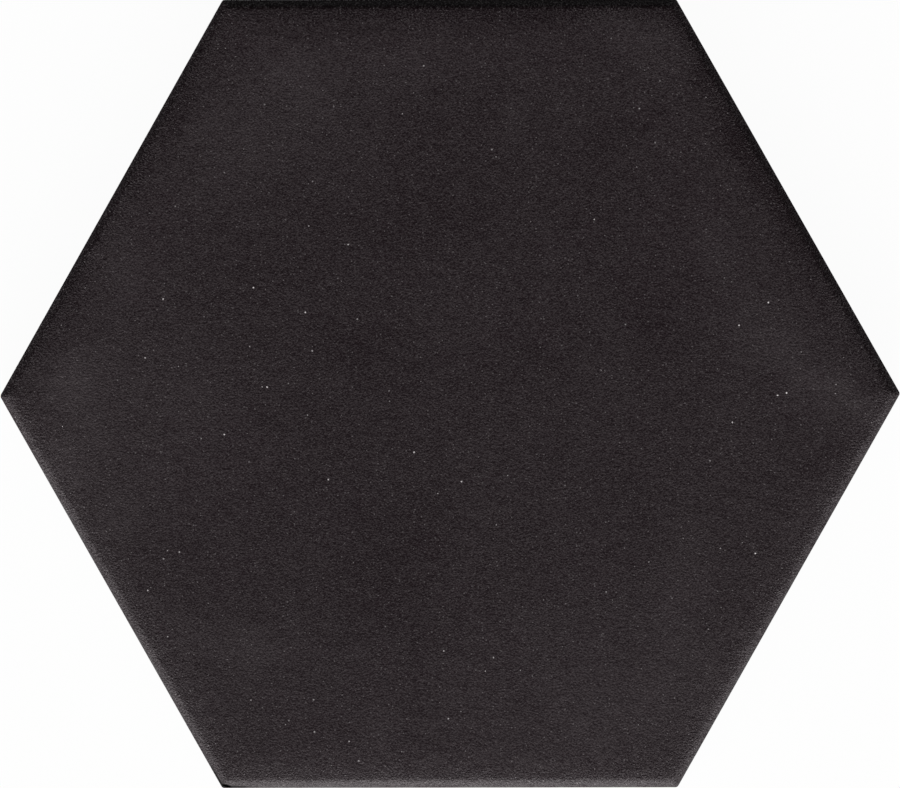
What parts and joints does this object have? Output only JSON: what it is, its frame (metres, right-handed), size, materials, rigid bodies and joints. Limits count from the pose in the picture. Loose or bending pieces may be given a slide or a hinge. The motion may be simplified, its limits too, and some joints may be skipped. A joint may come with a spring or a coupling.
{
  "type": "hexagon floor tile",
  "caption": "Hexagonal floor tile of pressed stoneware with a matt near-black glaze, a cushion edge all round and a shallow ribbed back that keys into its bed of adhesive.",
  "frame": {"origin": "centre of the bedding plane, on the middle of the back's ribs", "axes": "+X from corner to corner, towards the right-hand corner of the picture; +Y from flat to flat, towards the top of the picture; +Z out of the glazed face"},
  "size_m": [0.1998, 0.175, 0.009],
  "materials": {
    "matt_glaze": "matte",
    "fired_body": "matte"
  },
  "bodies": {
    "root": {"hexagon_tile": "matt_glaze"}
  },
  "joints": []
}
